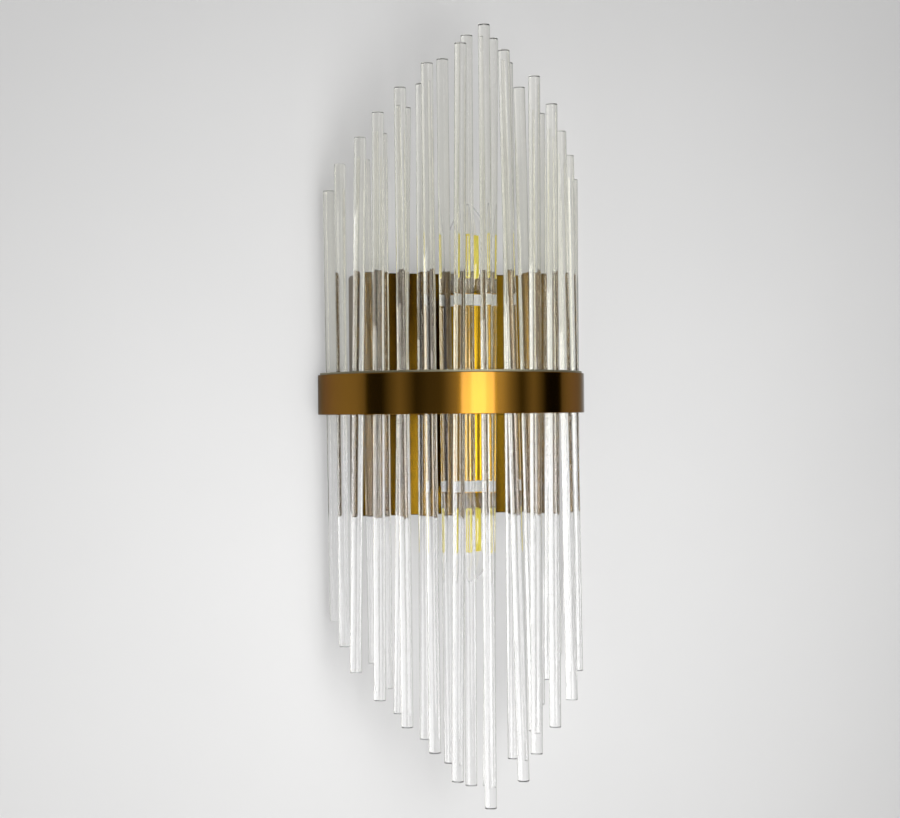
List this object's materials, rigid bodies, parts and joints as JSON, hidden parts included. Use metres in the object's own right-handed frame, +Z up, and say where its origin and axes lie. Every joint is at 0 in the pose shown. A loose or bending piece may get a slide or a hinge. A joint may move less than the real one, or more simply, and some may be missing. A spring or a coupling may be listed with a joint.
{
  "type": "crystal wall sconce",
  "caption": "Half-round brass wall sconce with two rows of clear glass rods of stepped length, a back box, and a lamp tube with a candle lamp at each end.",
  "frame": {"origin": "on the wall plane, in the middle of the wall bracket's back, level with the middle of the band", "axes": "+X along the wall to the right, -Y out from the wall into the room, +Z up"},
  "size_m": [0.192, 0.102, 0.523],
  "materials": {
    "satin_brass": "satin brushed",
    "plain_brass": "plain",
    "clear_glass": "clear polished",
    "lamp_glass": "clear thin",
    "dark_glass": "black gloss",
    "plated_steel": "zinc plated",
    "lamp_cap_metal": "rolled sheet",
    "clear_silicone": "clear soft",
    "block_plastic": "moulded",
    "holder_ceramic": "glazed",
    "white_strip": "plain matt",
    "lead_cover": "moulded",
    "filament_yellow": "phosphor coat"
  },
  "bodies": {
    "root": {"back_box": "satin_brass", "band": "satin_brass", "upper_plate": "satin_brass", "lower_plate": "satin_brass", "lamp_tube": "satin_brass", "tube_nipple": "plain_brass", "nipple_nuts": "plain_brass", "wall_bracket": "plated_steel", "m4_screws": "plated_steel", "m4_nuts": "plated_steel", "plate_columns": "plated_steel", "column_screws": "plated_steel", "rod_rings": "clear_silicone", "terminal_block": "block_plastic", "tube_strips": "white_strip", "box_leads": "lead_cover", "tube_leads": "lead_cover", "upper_holder_body": "holder_ceramic", "upper_holder_shell": "plain_brass", "upper_holder_contact": "plain_brass", "lower_holder_body": "holder_ceramic", "lower_holder_shell": "plain_brass", "lower_holder_contact": "plain_brass", "outer_rod_01": "clear_glass", "outer_rod_02": "clear_glass", "outer_rod_03": "clear_glass", "outer_rod_04": "clear_glass", "outer_rod_05": "clear_glass", "outer_rod_06": "clear_glass", "outer_rod_07": "clear_glass", "outer_rod_08": "clear_glass", "outer_rod_09": "clear_glass", "outer_rod_10": "clear_glass", "outer_rod_11": "clear_glass", "outer_rod_12": "clear_glass", "outer_rod_13": "clear_glass", "outer_rod_14": "clear_glass", "outer_rod_15": "clear_glass", "inner_rod_01": "clear_glass", "inner_rod_02": "clear_glass", "inner_rod_03": "clear_glass", "inner_rod_04": "clear_glass", "inner_rod_05": "clear_glass", "inner_rod_06": "clear_glass", "inner_rod_07": "clear_glass", "inner_rod_08": "clear_glass", "inner_rod_09": "clear_glass", "inner_rod_10": "clear_glass", "inner_rod_11": "clear_glass", "inner_rod_12": "clear_glass"},
    "upper_lamp": {"upper_bulb_cap": "lamp_cap_metal", "upper_bulb_contact": "dark_glass", "upper_bulb_glass": "lamp_glass", "upper_bulb_filaments": "filament_yellow"},
    "lower_lamp": {"lower_bulb_cap": "lamp_cap_metal", "lower_bulb_contact": "dark_glass", "lower_bulb_glass": "lamp_glass", "lower_bulb_filaments": "filament_yellow"}
  },
  "joints": [
    {"name": "upper_lamp_out", "type": "slide", "parent": "root", "child": "upper_lamp", "axis": [0, 0, 1], "range_m": [0, 0.02]},
    {"name": "lower_lamp_out", "type": "slide", "parent": "root", "child": "lower_lamp", "axis": [0, 0, -1], "range_m": [0, 0.02]}
  ]
}
